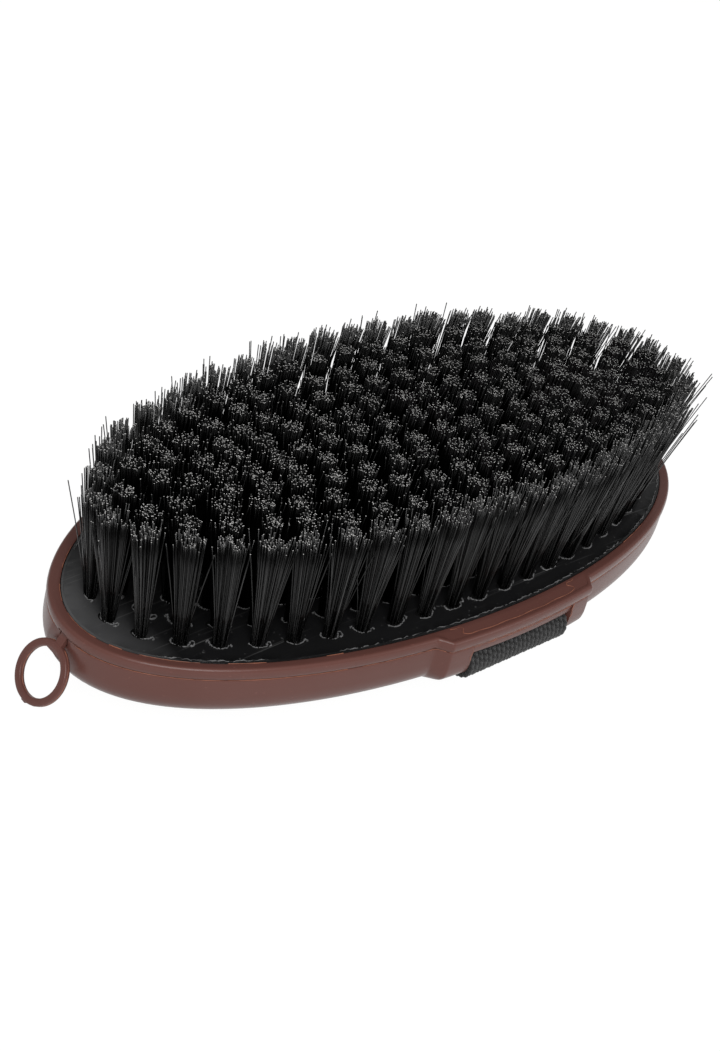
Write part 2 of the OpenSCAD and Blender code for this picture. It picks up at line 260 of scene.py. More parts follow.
def addNode(tree, kind, inputs=None, **settings):
    node = tree.nodes.new(kind)
    for key, value in settings.items():
        setattr(node, key, value)
    for key, value in (inputs or {}).items():
        plug(tree, node.inputs[key], value)
    return node


def mathNode(tree, operation, *values, clamp=False):
    node = addNode(tree, "ShaderNodeMath", dict(enumerate(values)), operation=operation, use_clamp=clamp)
    return node.outputs[0]


def times(tree, a, b):
    return mathNode(tree, "MULTIPLY", a, b)


def spread(tree, value, factor, offset):
    return mathNode(tree, "MULTIPLY_ADD", value, factor, offset)


def vectorNode(tree, operation, a, b):
    return addNode(tree, "ShaderNodeVectorMath", {0: a, 1: b}, operation=operation).outputs[0]


def scaleVector(tree, vector, factor):
    return addNode(tree, "ShaderNodeVectorMath", {0: vector, "Scale": factor}, operation="SCALE").outputs[0]


def combine(tree, x=0.0, y=0.0, z=0.0):
    return addNode(tree, "ShaderNodeCombineXYZ", {0: x, 1: y, 2: z}).outputs[0]


def partOf(tree, vector, axis):
    return addNode(tree, "ShaderNodeSeparateXYZ", {0: vector}).outputs[axis]


def noiseOf(tree, place, scale, **more):
    inputs = {"Vector": place, "Scale": scale}
    inputs.update({key.title(): value for key, value in more.items()})
    return addNode(tree, "ShaderNodeTexNoise", inputs).outputs["Fac"]


def ramp(tree, value, low, high, first=0.0, last=1.0):
    return addNode(tree, "ShaderNodeMapRange", {0: value, 1: low, 2: high, 3: first, 4: last}).outputs[0]


def ownAttribute(tree, name):
    return addNode(tree, "ShaderNodeAttribute", attribute_name=name).outputs["Fac"]


def ownPlace(tree):
    return addNode(tree, "ShaderNodeTexCoord").outputs["Object"]


def nodeGroup(name, inputs, outputs):
    group = bpy.data.node_groups.new(name, "ShaderNodeTree")
    for label, value in inputs:
        socket = group.interface.new_socket(label, in_out="INPUT", socket_type="NodeSocketFloat")
        socket.default_value = value
    for label in outputs:
        group.interface.new_socket(label, in_out="OUTPUT", socket_type="NodeSocketFloat")
    return group, group.nodes.new("NodeGroupInput"), group.nodes.new("NodeGroupOutput")


# noise scales per metre, and where on the noise a speck or a scratch starts and is full
moulded = {"grain": 2600.0, "drift": 45.0, "dots": 1100.0, "speckStart": 0.71, "speckEnd": 0.77}
hair = {"turns": (0.35, 1.3, 2.4), "stretch": (14.0, 900.0, 14.0), "start": 0.66, "end": 0.73}


def makeGrainGroup():
    # fine moulded grain, slow drifts of tone and a few specks of dust
    group, start, end = nodeGroup("mouldedGrain", [("scale", 1.0)], ["height", "tone", "specks"])
    place = scaleVector(group, ownPlace(group), start.outputs["scale"])
    dots = noiseOf(group, place, moulded["dots"], detail=1.0)
    plug(group, end.inputs["height"], noiseOf(group, place, moulded["grain"], detail=3.0, roughness=0.6))
    plug(group, end.inputs["tone"], noiseOf(group, place, moulded["drift"], detail=2.0))
    plug(group, end.inputs["specks"], ramp(group, dots, moulded["speckStart"], moulded["speckEnd"]))
    return group


def makeScratchGroup():
    # long hair-fine scratches in a few directions
    group, start, end = nodeGroup("hairScratches", [("strength", 1.0)], ["mask"])
    place, total = ownPlace(group), 0.0
    for k, turn in enumerate(hair["turns"]):
        mapping = addNode(group, "ShaderNodeMapping", {
            "Vector": place, "Rotation": (0.0, 0.0, turn), "Scale": hair["stretch"]})
        noise = noiseOf(group, mapping.outputs[0], 1.0 + 0.2 * k, detail=2.0, roughness=0.7)
        total = mathNode(group, "MAXIMUM", total, ramp(group, noise, hair["start"], hair["end"]))
    plug(group, end.inputs["mask"], times(group, total, start.outputs["strength"]))
    return group


grainGroup = makeGrainGroup()
scratchGroup = makeScratchGroup()


def startMaterial(name, colour, sockets):
    material = bpy.data.materials.new(name)
    material.use_nodes = True
    material.diffuse_color = (*colour, 1.0)
    shader = material.node_tree.nodes["Principled BSDF"]
    shader.inputs["Base Color"].default_value = (*colour, 1.0)
    for key, value in sockets.items():
        shader.inputs[key].default_value = value
    return material, material.node_tree, shader


def placeGroup(tree, group, **values):
    return addNode(tree, "ShaderNodeGroup", values, node_tree=group)


def mixColours(tree, factor, first, second):
    node = addNode(tree, "ShaderNodeMix", data_type="RGBA")
    for key, value in (("Factor", factor), ("A", first), ("B", second)):
        kind = "VALUE" if key == "Factor" else "RGBA"
        value = (*value, 1.0) if isinstance(value, tuple) else value
        plug(tree, [s for s in node.inputs if s.name == key and s.type == kind][0], value)
    return [s for s in node.outputs if s.type == "RGBA"][0]


def addBump(tree, shader, height, distance, strength):
    bump = addNode(tree, "ShaderNodeBump", {"Strength": strength, "Distance": distance, "Height": height})
    tree.links.new(bump.outputs[0], shader.inputs["Normal"])


brownLook = {"colour": (0.140, 0.059, 0.049), "deep": (0.100, 0.037, 0.028), "roughness": 0.31, "speckLift": 1.6}
flashLook = {"colour": (0.33, 0.13, 0.08), "deep": (0.16, 0.055, 0.036), "roughness": 0.36, "speckLift": 1.6}


def makeBrownPlastic(name, look):
    material, tree, shader = startMaterial(name, look["colour"], {"IOR": 1.47, "Specular IOR Level": 0.28})
    grain = placeGroup(tree, grainGroup, scale=1.0)
    tone, specks = grain.outputs["tone"], grain.outputs["specks"]
    base = mixColours(tree, times(tree, tone, 0.6), look["colour"], look["deep"])
    pale = tuple(min(1.0, c * look["speckLift"]) for c in look["colour"])
    plug(tree, shader.inputs["Base Color"], mixColours(tree, times(tree, specks, 0.35), base, pale))
    plug(tree, shader.inputs["Roughness"], spread(tree, tone, 0.16, look["roughness"] - 0.08))
    addBump(tree, shader, grain.outputs["height"], 0.00002, 0.5)
    return material


# painted sheen: the bare ends of the plate turn a dull grey between these two distances along X, in metres
plateLook = {"colour": (0.0072, 0.0072, 0.0076), "endSheen": (0.12, 0.12, 0.122), "scuff": (0.085, 0.085, 0.085),
             "roughness": 0.24, "dust": 0.6, "sheenStart": 0.083, "sheenEnd": 0.100}
# the burr threads' grey colour on black plastic is painted highlight
burrHighlightLook = {"colour": (0.13, 0.13, 0.132), "endSheen": (0.15, 0.15, 0.15), "scuff": (0.36, 0.36, 0.36),
            "roughness": 0.22, "dust": 1.0, "sheenStart": 0.083, "sheenEnd": 0.100}


def makePlateBlack(name, look):
    material, tree, shader = startMaterial(name, look["colour"], {"IOR": 1.5, "Specular IOR Level": 0.38})
    grain = placeGroup(tree, grainGroup, scale=0.8)
    tone, specks = grain.outputs["tone"], grain.outputs["specks"]
    scratch = placeGroup(tree, scratchGroup, strength=0.7)
    mask = mathNode(tree, "MAXIMUM", scratch.outputs["mask"], times(tree, specks, look["dust"]))
    along = mathNode(tree, "ABSOLUTE", partOf(tree, ownPlace(tree), "X"))
    # painted sheen: the base colour turns grey towards both ends along X, made uneven by the tone noise
    sheenRamp = ramp(tree, along, look["sheenStart"], look["sheenEnd"])
    endSheen = times(tree, sheenRamp, mathNode(tree, "ADD", tone, 0.35))
    base = mixColours(tree, endSheen, look["colour"], look["endSheen"])
    plug(tree, shader.inputs["Base Color"], mixColours(tree, mask, base, look["scuff"]))
    plug(tree, shader.inputs["Roughness"], spread(tree, tone, 0.26, look["roughness"]))
    addBump(tree, shader, grain.outputs["height"], 0.00003, 0.5)
    return material


# each filament has a shade of its own; gloss and palest are for the tufts of the outer ring and for the others, and
# the others' darker, less glossy copy of the same nylon is painted shade
nylon = {
    "darkest": (0.0003, 0.0003, 0.0003),
    "palest": {"nylonFilament": (0.046, 0.046, 0.046), "nylonShadedInnerFilament": (0.002, 0.002, 0.002)},
    "gloss": {"nylonFilament": 0.28, "nylonShadedInnerFilament": 0.05},
    "tipShadeStart": 0.72,
    "tipShadeEnd": 0.94,
    # the cut ends' pale colour is a painted highlight
    "tipDark": (0.06, 0.06, 0.06),
    "tipHighlight": (0.82, 0.81, 0.79),
}


def makeFilament(name):
    sockets = {"IOR": 1.53, "Specular IOR Level": nylon["gloss"][name]}
    material, tree, shader = startMaterial(name, (0.004, 0.004, 0.004), sockets)
    shade = ownAttribute(tree, "shade")
    # painted shade: black again just under the cut ends
    tipShade = ramp(tree, ownAttribute(tree, "rise"), nylon["tipShadeStart"], nylon["tipShadeEnd"], 1.0, 0.0)
    tone = times(tree, mathNode(tree, "POWER", shade, 2.0), tipShade)
    plug(tree, shader.inputs["Base Color"], mixColours(tree, tone, nylon["darkest"], nylon["palest"][name]))
    plug(tree, shader.inputs["Roughness"], spread(tree, shade, 0.14, 0.14))
    return material


# painted highlight: the flat cut ends go at random from dark to pale, standing in for light caught on the cuts
def makeFilamentTip():
    material, tree, shader = startMaterial("nylonTipHighlight", (0.25, 0.25, 0.25), {"Roughness": 0.6})
    tone = mathNode(tree, "POWER", ownAttribute(tree, "shade"), 1.2)
    plug(tree, shader.inputs["Base Color"], mixColours(tree, tone, nylon["tipDark"], nylon["tipHighlight"]))
    return material


yarn = {
    "colour": (0.056, 0.056, 0.057),
    "deep": (0.0015, 0.0015, 0.0015),
    "stitch": 1.3,
    "threadsPerStitch": 3,
    "slant": 0.75,
    "grooveShade": 0.6,
    "fibre": 0.6,
}


def makeElastic(look, ribPitch):
    # threads slanting to and fro across each rib, drawn on the strap's own UV map in mm, with painted shade in the
    # grooves between ribs and in the stitch notches
    material, tree, shader = startMaterial("elasticYarn", look["colour"], {
        "Roughness": 0.72, "IOR": 1.45, "Sheen Weight": 0.15, "Sheen Roughness": 0.5})
    uv = addNode(tree, "ShaderNodeUVMap", uv_map="strapMap").outputs[0]
    fold = mathNode(tree, "PINGPONG", partOf(tree, uv, "X"), ribPitch / 2)
    slant = spread(tree, fold, look["slant"], partOf(tree, uv, "Y"))
    wave = 2 * math.pi / look["stitch"] * look["threadsPerStitch"]
    thread = mathNode(tree, "SINE", times(tree, slant, wave))
    # painted shade: darker towards the groove between two ribs
    groove = mathNode(tree, "MINIMUM", mathNode(tree, "DIVIDE", fold, ribPitch / 2), 1.0)
    groove = mathNode(tree, "POWER", groove, look["grooveShade"])
    fibre = noiseOf(tree, ownPlace(tree), 9000.0, detail=3.0)
    lift = times(tree, mathNode(tree, "MULTIPLY_ADD", thread, 0.3, 0.7, clamp=True), groove)
    # painted shade: darker where the thread dips out of sight between two stitches
    lift = times(tree, lift, ramp(tree, ownAttribute(tree, "notch"), -0.5, 0.6))
    plug(tree, shader.inputs["Base Color"], mixColours(tree, lift, look["deep"], look["colour"]))
    addBump(tree, shader, spread(tree, fibre, look["fibre"], thread), 0.00007, 0.7)
    return material


def makeSteel():
    material, tree, shader = startMaterial("anchorWire", (0.5, 0.5, 0.52), {"Metallic": 1.0})
    grain = placeGroup(tree, grainGroup, scale=1.5)
    plug(tree, shader.inputs["Roughness"], spread(tree, grain.outputs["tone"], 0.3, 0.2))
    addBump(tree, shader, grain.outputs["height"], 0.00002, 0.4)
    return material


# the strap's sizes, in mm as in the CAD
strap = {
    "width": 35.0,
    "web": 1.8,
    "flat": 12.0,
    "lipRadius": 2.7,
    "lipInset": 1.5,
    "lipRunIn": 2.0,
    "underLip": ((4.4, 4.9), (9.2, 7.3)),
    "webGap": 0.2,
    "slotGap": 0.3,
    "barHeight": 2.6,
    "barDrop": 0.02,
    "barGap": 0.05,
    "barSetBack": 0.25,
    "rodDiameter": 1.2,
    "rodInset": 12.2,
    "rodGap": 0.08,
    "hemLength": 3.5,
    "hemClear": 0.3,
    "turnStart": -68.0,
    "turnEnd": 140.0,
    "archShare": 0.5,
    "foldOut": 1.6,
    "foldPull": 1.8,
    "hemPull": 2.2,
    "ribs": 23,
    "columnsPerRib": 6,
    "coarseStep": 0.58,
    "fineStep": 0.25,
    "grooveDepth": 0.46,
    "stitchDepth": 0.2,
    "stitchSlant": 0.35,
    "edgeWave": 0.22,
}
ribPitch = strap["width"] / strap["ribs"]

brownPlastic = makeBrownPlastic("brownPlastic", brownLook)
flashPlastic = makeBrownPlastic("flashPlastic", flashLook)
plateBlack = makePlateBlack("plateBlack", plateLook)
burrPaintedHighlight = makePlateBlack("burrPaintedHighlight", burrHighlightLook)
filament = makeFilament("nylonFilament")
shadedInnerFilament = makeFilament("nylonShadedInnerFilament")
paintedTipHighlight = makeFilamentTip()
elasticYarn = makeElastic(yarn, ribPitch)
anchorWire = makeSteel()
print("materials made")


def dress(obj, bodyName, slotName, *materials):
    obj.data.materials.clear()
    for material in materials:
        obj.data.materials.append(material)
    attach(obj, bodyName)


turnRadius = strap["lipRadius"] + strap["webGap"] + strap["web"] / 2
slotHalf = strap["width"] / 2 + strap["slotGap"]
barTop = sag(slotHalf) - strap["barDrop"]
barBottom = barTop - strap["barHeight"]
turnCentre = np.array([body["halfWidth"] - strap["lipInset"],
                       barBottom - strap["barGap"] - turnRadius - strap["web"] / 2])


def lengthsAlong(line):
    return np.concatenate([[0], np.cumsum(np.linalg.norm(np.diff(line, axis=0), axis=1))])


def bezier(a, b, c, d, n):
    ts = [i / n for i in range(1, n)]
    return [(1 - t) ** 3 * a + 3 * (1 - t) ** 2 * t * b + 3 * (1 - t) * t * t * c + t ** 3 * d for t in ts]


def onTurn(degrees):
    a = math.radians(degrees)
    return turnCentre + turnRadius * np.array([math.cos(a), math.sin(a)])


def alongTurn(degrees):
    a = math.radians(degrees)
    return np.array([-math.sin(a), math.cos(a)])


def strapPath():
    # the strap's middle line in the Y-Z plane, from one hem to the other
    start, finish = strap["turnStart"], strap["turnEnd"]
    hemTop = body["coreBottom"] - strap["hemClear"] - strap["web"] / 2
    hemRadius = (strap["rodDiameter"] + strap["web"]) / 2 + strap["rodGap"]
    rod = np.array([body["halfWidth"] - strap["rodInset"], hemTop - hemRadius])
    low = np.array([strap["flat"], strap["web"] / 2 - body["seamHeight"]])
    archEnd = onTurn(start)
    pull = (archEnd[0] - strap["flat"]) * strap["archShare"]
    half = [low] + bezier(low, low + [pull, 0], archEnd - pull * alongTurn(start), archEnd, 30)
    half += [onTurn(start + (finish - start) * i / 48) for i in range(49)]
    foldEnd, hemStart = half[-1], rod + [strap["foldOut"], hemRadius]
    half += bezier(foldEnd, foldEnd + strap["foldPull"] * alongTurn(finish),
                   hemStart + [strap["hemPull"], 0], hemStart, 12) + [hemStart]
    half += [rod + hemRadius * np.array([math.cos(a), math.sin(a)])
             for a in (math.radians(90 + 15 * i) for i in range(13))]
    half += [rod + [strap["hemLength"], -hemRadius]]
    flat = [np.array([y, low[1]]) for y in np.linspace(-strap["flat"], strap["flat"], 16)[1:-1]]
    return np.array([np.array([-p[0], p[1]]) for p in reversed(half)] + flat + half)


def resample(path, coarse, fine):
    # steps are fine where the strap shows round the lips
    kept = np.concatenate([[True], np.linalg.norm(np.diff(path, axis=0), axis=1) > 1e-6])
    path = path[kept]
    lengths = lengthsAlong(path)
    marks, s = [0.0], 0.0
    while s < lengths[-1] - 0.1:
        y = np.interp(s, lengths, path[:, 0])
        shows = abs(y) > turnCentre[0] - 1.0
        s += fine if shows else coarse
        marks.append(min(s, lengths[-1]))
    marks = np.array(marks)
    return np.stack([np.interp(marks, lengths, path[:, k]) for k in (0, 1)], axis=1), marks


def makeStrap():
    path, s = resample(strapPath(), strap["coarseStep"], strap["fineStep"])
    n = len(path)
    tangent = np.gradient(path, s, axis=0)
    tangent /= np.linalg.norm(tangent, axis=1)[:, None]
    side = np.stack([-tangent[:, 1], tangent[:, 0]], axis=1)
    columns = strap["ribs"] * strap["columnsPerRib"] + 1
    across = np.linspace(-strap["width"] / 2, strap["width"] / 2, columns)
    place = np.arange(columns) / strap["columnsPerRib"]
    inRib = np.abs(np.sin(np.pi * place)) ** 0.75
    halfRib = np.abs(place - np.floor(place) - 0.5) * 2
    row = np.floor(np.minimum(place, strap["ribs"] - 0.01))
    # stitches slant within a rib, and each rib's start half a stitch from the last's, not quite evenly
    shift = strap["stitchSlant"] * halfRib + 0.5 * row + 0.13 * np.sin(2.1 * row)
    atEdge = np.abs(across) > strap["width"] / 2 - 0.1
    points, uvs, waves = [], [], []
    for face in (1, -1):
        for i in range(n):
            wave = np.cos(2 * np.pi * (s[i] / yarn["stitch"] + shift))
            stitch = strap["stitchDepth"] * (1 - np.abs(wave) ** 0.5 * np.sign(wave)) / 2
            half = strap["web"] / 2 - strap["grooveDepth"] * (1 - inRib) - stitch
            edge = np.where(atEdge, strap["edgeWave"] * wave, 0.0) * np.sign(across)
            py = path[i, 0] + face * half * side[i, 0]
            pz = body["seamHeight"] + path[i, 1] + face * half * side[i, 1]
            points += list(zip(across - np.abs(edge) * np.sign(across), py, pz))
            uvs += [(u + strap["width"] / 2, s[i]) for u in across]
            waves += list(wave)
    size = n * columns
    faces = []
    for i in range(n - 1):
        for k in range(columns - 1):
            a = i * columns + k
            faces.append((a, a + 1, a + columns + 1, a + columns))
            faces.append((size + a, size + a + columns, size + a + columns + 1, size + a + 1))
    # the two faces are joined all round their outline
    outline = list(range(columns)) + [i * columns + columns - 1 for i in range(1, n)]
    outline += [(n - 1) * columns + k for k in range(columns - 2, -1, -1)]
    outline += [i * columns for i in range(n - 2, 0, -1)]
    faces += [(a, size + a, size + b, b) for a, b in zip(outline, outline[1:] + outline[:1])]
    obj = newObject("elasticStrap", points, faces, 70)
    layer = obj.data.uv_layers.new(name="strapMap")
    corners = np.zeros(len(obj.data.loops), int)
    obj.data.loops.foreach_get("vertex_index", corners)
    layer.data.foreach_set("uv", np.array(uvs)[corners].ravel())
    obj.data.attributes.new("notch", "FLOAT", "POINT").data.foreach_set("value", waves)
    outward(obj, merge=False)
    shadeSmooth(obj.data, 70)
    return obj


elasticStrap = makeStrap()
dress(elasticStrap, "brush", "strap_elastic", elasticYarn)
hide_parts("hand_strap")
print("strap made:", len(elasticStrap.data.polygons), "faces")

# the ring's hinge, in the parting line at the -X tip
hinge = {"inset": 1.45, "radius": 0.7, "gap": 0.05, "length": 6.6, "slotDrop": 3.2, "slotHalf": 1.6,
         "slotReach": 4.0, "slotInward": 0.7, "headroom": 0.9}
hingeX = hinge["inset"] - body["halfLength"]
hingePlace = (hingeX, body["seamHeight"] + sag(hingeX))


def hingeCutters():
    pin = pinCutter(hingePlace, hinge["radius"] + hinge["gap"], hinge["length"] / 2 + hinge["gap"])
    slot = boxCutter((hingePlace[0] - hinge["slotReach"], -hinge["slotHalf"], hingePlace[1] - hinge["slotDrop"]),
                     (hingePlace[0] + hinge["slotInward"], hinge["slotHalf"], hingePlace[1] + hinge["headroom"]))
    return [pin, slot]


# the back's profile: inset as a share of the shoulder, depth as a share of the back's, share of the ear
backProfile = [(0, 0, 1), (-0.02, 0.12, 1), (-0.03, 0.27, 1), (-0.03, 0.42, 1), (0.02, 0.57, 1),
               (0.16, 0.71, 0.9), (0.42, 0.83, 0.6), (1, 0.92, 0.3), (2.2, 0.975, 0), (4.4, 0.998, 0)]
insideProfile = [(0.51, 0.66), (0.7, 0.81), (1.1, 0.9), (2.2, 0.965), (4.4, 0.995)]
seamGroove = [(0.30, -0.01, 1, 1, 0), (0.08, -0.09, 1, 1, 0), (0.0, -0.22, 1, 1, 0)]


def lipCutter(side):
    # the room for the strap: over and round the lip, and down the ear's wall to the underside
    y, z = turnCentre[0], body["seamHeight"] + turnCentre[1]
    r, inner, top = strap["lipRadius"], turnCentre[0] - strap["lipRadius"] - strap["lipRunIn"], z + 12
    outline = [(inner, top), (inner, z)]
    outline += [(y + r * math.cos(a), z + r * math.sin(a))
                for a in np.linspace(math.pi, math.radians(strap["turnStart"]), 40)]
    (nearIn, nearDown), (farIn, farDown) = strap["underLip"]
    outline += [(y - nearIn, z - nearDown), (y - farIn, z - farDown), (y - farIn, z - 14)]
    outline += [(y + 12, z - 14), (y + 12, top)]
    return barAcross(outline, slotHalf, side)


def makeBack():
    shoulder, depth = body["shoulder"], body["backDepth"]
    outer = smoothRows([(p[0] * shoulder, -p[1] * depth, p[2], 1.0, 0) for p in backProfile], 4)
    deep = depth - body["wall"]
    inside = [(p[0] * shoulder, -p[1] * deep, 0, 1, 0) for p in insideProfile]
    ledge = [(body["rimWidth"], -0.02, 0, 1, 0), (body["rimWidth"], body["coreBottom"], 0, 0, 0),
             (body["rimWidth"] + body["ledgeWidth"], body["coreBottom"], 0, 0, 0)]
    rows = list(reversed(seamGroove + outer[1:])) + ledge + inside
    n = len(angles)
    points = [p for row in rows for p in loopPoints(row)]
    faces = bandFaces(len(rows), n)
    points += [(0, 0, body["seamHeight"] - depth), (0, 0, body["seamHeight"] - deep)]
    last = (len(rows) - 1) * n
    for i in range(n):
        j = (i + 1) % n
        faces += [(len(points) - 2, i, j), (len(points) - 1, last + j, last + i)]
    shell = outward(newObject("backShell", points, faces))
    flat = boxCutter((-body["halfLength"] - 6, -22, body["seamHeight"] - depth - body["endDrop"]),
                     (body["tipFlat"] - body["halfLength"], 22, body["seamHeight"]))
    combineWith(shell, hingeCutters() + [lipCutter(1), lipCutter(-1), flat], "DIFFERENCE")
    shadeSmooth(shell.data, 35)
    return shell


backShell = makeBack()
dress(backShell, "brush", "back_plastic", brownPlastic)
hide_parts("back_shell")
print("back made")


def makeRim():
    # a rounded bead that falls to the plate, with a small step down to a flat land inside the ears
    h, w = body["beadHeight"], body["rimWidth"]
    bead = [(-0.10, 0.30, 1, 1, 0), (-0.25, 0.30 * h, 1, 1, 0), (-0.26, 0.60 * h, 1, 1, 0),
            (-0.06, 0.86 * h, 1, 1, 0), (0.40, 0.995 * h, 1, 1, 0), (0.90, h, 1, 1, 0), (1.30, 0.98 * h, 1, 1, 0)]
    land = [(1.50, 0.965 * h, 1, 1, -0.12), (1.85, 0.945 * h, 0.75, 1, -0.11), (2.3, 0.915 * h, 0.4, 1, -0.03),
            (w - 0.15, 0.885 * h, 0.05, 1, 0.03), (w, 0.85 * h, 0, 1, 0), (w, 0.02, 0, 1, 0)]
    rows = [(0.30, 0.02, 1, 1, 0), (0.08, 0.10, 1, 1, 0)] + smoothRows(bead, 4) + land
    points = [p for row in rows for p in loopPoints(row)]
    rim = outward(newObject("rimFrame", points, bandFaces(len(rows), len(angles), closed=True)))
    combineWith(rim, hingeCutters(), "DIFFERENCE")
    shadeSmooth(rim.data, 30)
    return rim


rimFrame = makeRim()
dress(rimFrame, "brush", "rim_plastic", brownPlastic)
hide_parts("rim_frame")
print("rim made")


def earFace(x):
    return body["halfWidth"] * math.sqrt(1 - (x / body["halfLength"]) ** 2) + body["earOut"]


def makeBar(name, side):
    # each step of the face is how far it lies back, and its height over the bar's underside
    steps = [(0.40, 0), (0.10, 0.12), (0, 0.42), (0, 1.75), (0.02, 1.86), (0.14, 1.90), (0.14, 1.96), (0.02, 2.0),
             (0, 2.1), (0, strap["barHeight"])]
    inner = body["halfWidth"] - body["rimWidth"]
    bottom = body["seamHeight"] + barBottom
    sections = []
    for x in np.linspace(-1, 1, 25) * (slotHalf - strap["barGap"]):
        face = earFace(x) - strap["barSetBack"]
        outline = [(inner, 0)] + [(face - back, up) for back, up in steps] + [(inner, strap["barHeight"])]
        sections.append([(x, side * y, bottom + up) for y, up in outline])
    return loft(name, sections)


for name, side, node in (("strapBarRear", 1, "strap_bar_rear"), ("strapBarFront", -1, "strap_bar_front")):
    bar = makeBar(name, side)
    dress(bar, "brush", "rim_plastic", brownPlastic)
    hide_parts(node)
print("bars made")

# burrs are stretches of scraped-up plastic round the plate's edge, in degrees
plate = {"edgeInset": 3.0, "bottom": -1.0, "ridge": 0.04, "waviness": 0.06, "seed": 11, "burrInset": 0.7,
         "burrs": ((8, 52), (60, 118), (130, 151), (206, 228), (238, 300), (304, 352))}


def makePlateFace():
    # the face of the tuft plate, with a low uneven ridge near its edge
    top, edge, count = body["plateRise"], plate["edgeInset"], 320
    turns = [2 * math.pi * k / count for k in range(count)]
    rng = np.random.default_rng(plate["seed"])
    waves = sum(np.sin(np.array(turns) * f + rng.uniform(0, 6.28)) * rng.uniform(0.4, 1)
                for f in (7, 19, 37, 61, 97, 131)) / 3
    rows = [(edge, plate["bottom"], 0), (edge, top - 0.02, 0), (edge + 0.02, top, 0),
            (edge + 0.45, top, 0.6), (edge + 0.52, top + plate["ridge"], 1), (edge + 0.60, top, 0.6)]
    rows += [(inset, top, 0) for inset in (6, 12, 20, 30, 40, 46)]
    points = []
    for inset, height, wave in rows:
        for a, v in zip(turns, waves):
            x, y = ovalPoint(a, inset + plate["waviness"] * wave * v)
            drop = sag(x) if height > 0 else 0.0
            lift = plate["waviness"] * v if wave == 1 else 0.0
            points.append((x, y, body["seamHeight"] + height + drop + lift))
    faces = bandFaces(len(rows), count)
    last = (len(rows) - 1) * count
    # the middle of the face is closed by strips across the oval
    for i in range(count // 2):
        quad = [last + i, last + i + 1, last + (count - i - 1) % count] + ([last + count - i] if i else [])
        quad = list(dict.fromkeys(quad))
        if len(quad) > 2:
            faces.append(tuple(quad))
    faces.append(tuple(range(count - 1, -1, -1)))
    return outward(newObject("plateFace", points, faces, 40))


plateFace = makePlateFace()
dress(plateFace, "brush", "plate_plastic", plateBlack)
print("plate made")


def geometryTree(name, inputs):
    tree = bpy.data.node_groups.new(name, "GeometryNodeTree")
    tree.interface.new_socket("Geometry", in_out="INPUT", socket_type="NodeSocketGeometry")
    for label, kind in inputs:
        tree.interface.new_socket(label, in_out="INPUT", socket_type="NodeSocket" + kind)
    tree.interface.new_socket("Geometry", in_out="OUTPUT", socket_type="NodeSocketGeometry")
    return tree, tree.nodes.new("NodeGroupInput"), tree.nodes.new("NodeGroupOutput")


def useTree(obj, tree, **values):
    modifier = obj.modifiers.new(tree.name, "NODES")
    modifier.node_group = tree
    for item in tree.interface.items_tree:
        if item.in_out == "INPUT" and item.name in values:
            modifier[item.identifier] = values[item.name]
    return settle(obj)


def randomOf(tree, low, high, seed, offset=0, kind="FLOAT", index=None):
    node = addNode(tree, "FunctionNodeRandomValue", data_type=kind)
    sockets = {s.name: s for s in node.inputs if s.enabled}
    sockets["Min"].default_value = low
    sockets["Max"].default_value = high
    plug(tree, sockets["Seed"], mathNode(tree, "ADD", seed, offset))
    if index is not None:
        tree.links.new(index, sockets["ID"])
    return [s for s in node.outputs if s.enabled][0]


def readAttribute(tree, name, kind="FLOAT"):
    node = addNode(tree, "GeometryNodeInputNamedAttribute", {"Name": name}, data_type=kind)
    return [s for s in node.outputs if s.enabled and s.name == "Attribute"][0]


def storeAttribute(tree, geometry, name, value, kind="FLOAT"):
    node = addNode(tree, "GeometryNodeStoreNamedAttribute", {"Geometry": geometry, "Name": name}, data_type=kind)
    tree.links.new(value, [s for s in node.inputs if s.enabled and s.name == "Value"][0])
    return node.outputs["Geometry"]


def setMaterial(tree, geometry, material, selection=True):
    inputs = {"Geometry": geometry, "Selection": selection, "Material": material}
    return addNode(tree, "GeometryNodeSetMaterial", inputs).outputs[0]


# mould flash: hair-thin fins of plastic squeezed out along the parting lines, sizes in mm
threadStep = 0.35
flash = {"radius": 0.085, "unevenness": 0.9, "wander": 0.10, "seed": 4}


def makeThreadTree():
    tree, start, end = geometryTree("flashThreads", [
        ("radius", "Float"), ("unevenness", "Float"), ("wander", "Float"), ("seed", "Int"),
        ("plastic", "Material")])
    curve = addNode(tree, "GeometryNodeMeshToCurve", {0: start.outputs["Geometry"]})
    place = addNode(tree, "GeometryNodeInputPosition").outputs[0]
    moved = vectorNode(tree, "ADD", place, combine(tree, times(tree, start.outputs["seed"], 0.1)))
    noise = addNode(tree, "ShaderNodeTexNoise", {"Vector": moved, "Scale": 900.0, "Detail": 2.0})
    drift = vectorNode(tree, "SUBTRACT", noise.outputs["Color"], (0.5, 0.5, 0.5))
    shaken = addNode(tree, "GeometryNodeSetPosition", {"Geometry": curve.outputs[0]})
    plug(tree, shaken.inputs["Offset"], scaleVector(tree, drift, start.outputs["wander"]))
    thick = noiseOf(tree, moved, 420.0, detail=3.0)
    swing = times(tree, mathNode(tree, "SUBTRACT", thick, 0.5), 4.0)
    scale = spread(tree, swing, start.outputs["unevenness"], 1.0)
    scale = times(tree, mathNode(tree, "MAXIMUM", scale, 0.15), start.outputs["radius"])
    profile = addNode(tree, "GeometryNodeCurvePrimitiveCircle", {"Resolution": 5, "Radius": 1.0})
    tube = addNode(tree, "GeometryNodeCurveToMesh", {
        "Curve": shaken.outputs[0], "Profile Curve": profile.outputs[0], "Scale": scale, "Fill Caps": True})
    real = addNode(tree, "GeometryNodeRealizeInstances", {0: tube.outputs[0]})
    plug(tree, end.inputs[0], setMaterial(tree, real.outputs[0], start.outputs["plastic"]))
    return tree


